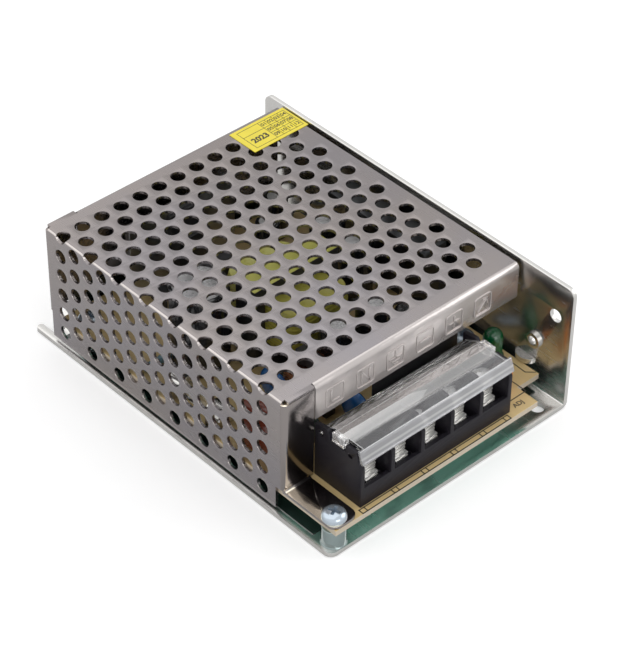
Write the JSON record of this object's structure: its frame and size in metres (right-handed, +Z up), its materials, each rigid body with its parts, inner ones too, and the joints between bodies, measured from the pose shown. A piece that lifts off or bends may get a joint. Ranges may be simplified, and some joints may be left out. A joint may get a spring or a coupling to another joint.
{
  "type": "enclosed power supply",
  "caption": "Mains power supply in a perforated folded case, with a screw terminal block under a hinged clear lid, a green lamp and a voltage trimmer beside it.",
  "frame": {"origin": "middle of the underside of the base, on the surface it is fixed to", "axes": "+X along the terminal block from its earth-free left end to the side wall, +Y from the terminals to the rear, +Z up"},
  "size_m": [0.078, 0.1082, 0.036],
  "materials": {
    "base_steel": "bright zinc plated, smooth and reflective",
    "cover_steel": "satin plated steel",
    "film": "thin dark insulating film",
    "board_laminate": "tan laminate with a green solder side",
    "standoff_zinc": "bright zinc",
    "case_screw_zinc": "blue-white zinc",
    "black_moulding": "black moulded plastic",
    "contact_tin": "tinned metal",
    "clamp_nickel": "nickel plated, ridged",
    "terminal_screw_nickel": "nickel plated",
    "clear_lid": "clear polycarbonate",
    "green_lens": "green diffused lens",
    "trimmer_moulding": "orange moulding",
    "rotor_metal": "plated rotor",
    "ferrite": "black ferrite",
    "yellow_tape": "yellow polyester tape",
    "bobbin_moulding": "black bobbin",
    "black_sleeve": "shrink sleeve with aluminium end",
    "can_sleeve": "shrink sleeve with aluminium top",
    "small_can_sleeve": "shrink sleeve with aluminium top",
    "red_brown_coating": "dipped red-brown film capacitor",
    "blue_coating": "dipped blue disc",
    "dark_coating": "dipped dark disc",
    "choke_ferrite": "black ferrite",
    "copper_wire": "lacquered copper wire",
    "fuse_glass": "glass tube with metal caps",
    "clip_metal": "spring metal",
    "black_epoxy": "moulded epoxy",
    "sink_aluminium": "plain aluminium",
    "dark_sink_aluminium": "dark anodised aluminium",
    "package_epoxy": "moulded epoxy with a metal tab",
    "output_package_epoxy": "moulded epoxy with a metal tab",
    "inductor_sleeve": "black shrink sleeve over the wound core",
    "chip_epoxy": "moulded epoxy",
    "optocoupler_epoxy": "white moulding",
    "resistor_coating": "blue lacquer with colour rings",
    "label_paper": "yellow self-adhesive label"
  },
  "bodies": {
    "case": {"base_chassis": "base_steel", "base_side_wall": "base_steel", "perforated_cover": "cover_steel", "cover_side_wall": "cover_steel", "cover_front_lip": "cover_steel", "cover_rear_wall": "cover_steel", "cover_edge_flanges": "cover_steel", "cover_foot": "cover_steel", "insulating_film": "film", "circuit_board": "board_laminate", "board_standoffs": "standoff_zinc", "case_screws": "case_screw_zinc", "terminal_housing": "black_moulding", "terminal_contacts": "contact_tin", "status_led": "green_lens", "trimmer_body": "trimmer_moulding", "transformer_core": "ferrite", "transformer_winding": "yellow_tape", "transformer_bobbin": "bobbin_moulding", "bulk_capacitor": "black_sleeve", "output_capacitors": "can_sleeve", "small_capacitors": "small_can_sleeve", "film_capacitor": "red_brown_coating", "safety_capacitors": "blue_coating", "inrush_thermistor": "dark_coating", "choke_core": "choke_ferrite", "choke_windings": "copper_wire", "line_fuse": "fuse_glass", "fuse_clips": "clip_metal", "bridge_rectifier": "black_epoxy", "primary_heatsink": "sink_aluminium", "output_heatsink": "dark_sink_aluminium", "switching_transistor": "package_epoxy", "output_rectifier": "output_package_epoxy", "output_inductor": "inductor_sleeve", "controller_chip": "chip_epoxy", "optocoupler": "optocoupler_epoxy", "resistors": "resistor_coating", "date_label": "label_paper"},
    "terminal_lid": {"terminal_cover": "clear_lid"},
    "trimmer": {"trimmer_rotor": "rotor_metal"},
    "pole_1": {"terminal_clamp_1": "clamp_nickel", "terminal_screw_1": "terminal_screw_nickel"},
    "pole_2": {"terminal_clamp_2": "clamp_nickel", "terminal_screw_2": "terminal_screw_nickel"},
    "pole_3": {"terminal_clamp_3": "clamp_nickel", "terminal_screw_3": "terminal_screw_nickel"},
    "pole_4": {"terminal_clamp_4": "clamp_nickel", "terminal_screw_4": "terminal_screw_nickel"},
    "pole_5": {"terminal_clamp_5": "clamp_nickel", "terminal_screw_5": "terminal_screw_nickel"}
  },
  "joints": [
    {"name": "lid_hinge", "type": "hinge", "parent": "case", "child": "terminal_lid", "pos_m": [-0.00375, -0.0387, 0.0217], "axis": [-1, 0, 0], "range_deg": [0, 60]},
    {"name": "trimmer_turn", "type": "hinge", "parent": "case", "child": "trimmer", "pos_m": [0.0249, -0.0438, 0.0145], "axis": [0, 0, 1], "range_deg": [-135, 135]},
    {"name": "pole_1_lift", "type": "slide", "parent": "case", "child": "pole_1", "axis": [0, 0, 1], "range_m": [0, 0.0024]},
    {"name": "pole_2_lift", "type": "slide", "parent": "case", "child": "pole_2", "axis": [0, 0, 1], "range_m": [0, 0.0024]},
    {"name": "pole_3_lift", "type": "slide", "parent": "case", "child": "pole_3", "axis": [0, 0, 1], "range_m": [0, 0.0024]},
    {"name": "pole_4_lift", "type": "slide", "parent": "case", "child": "pole_4", "axis": [0, 0, 1], "range_m": [0, 0.0024]},
    {"name": "pole_5_lift", "type": "slide", "parent": "case", "child": "pole_5", "axis": [0, 0, 1], "range_m": [0, 0.0024]}
  ]
}
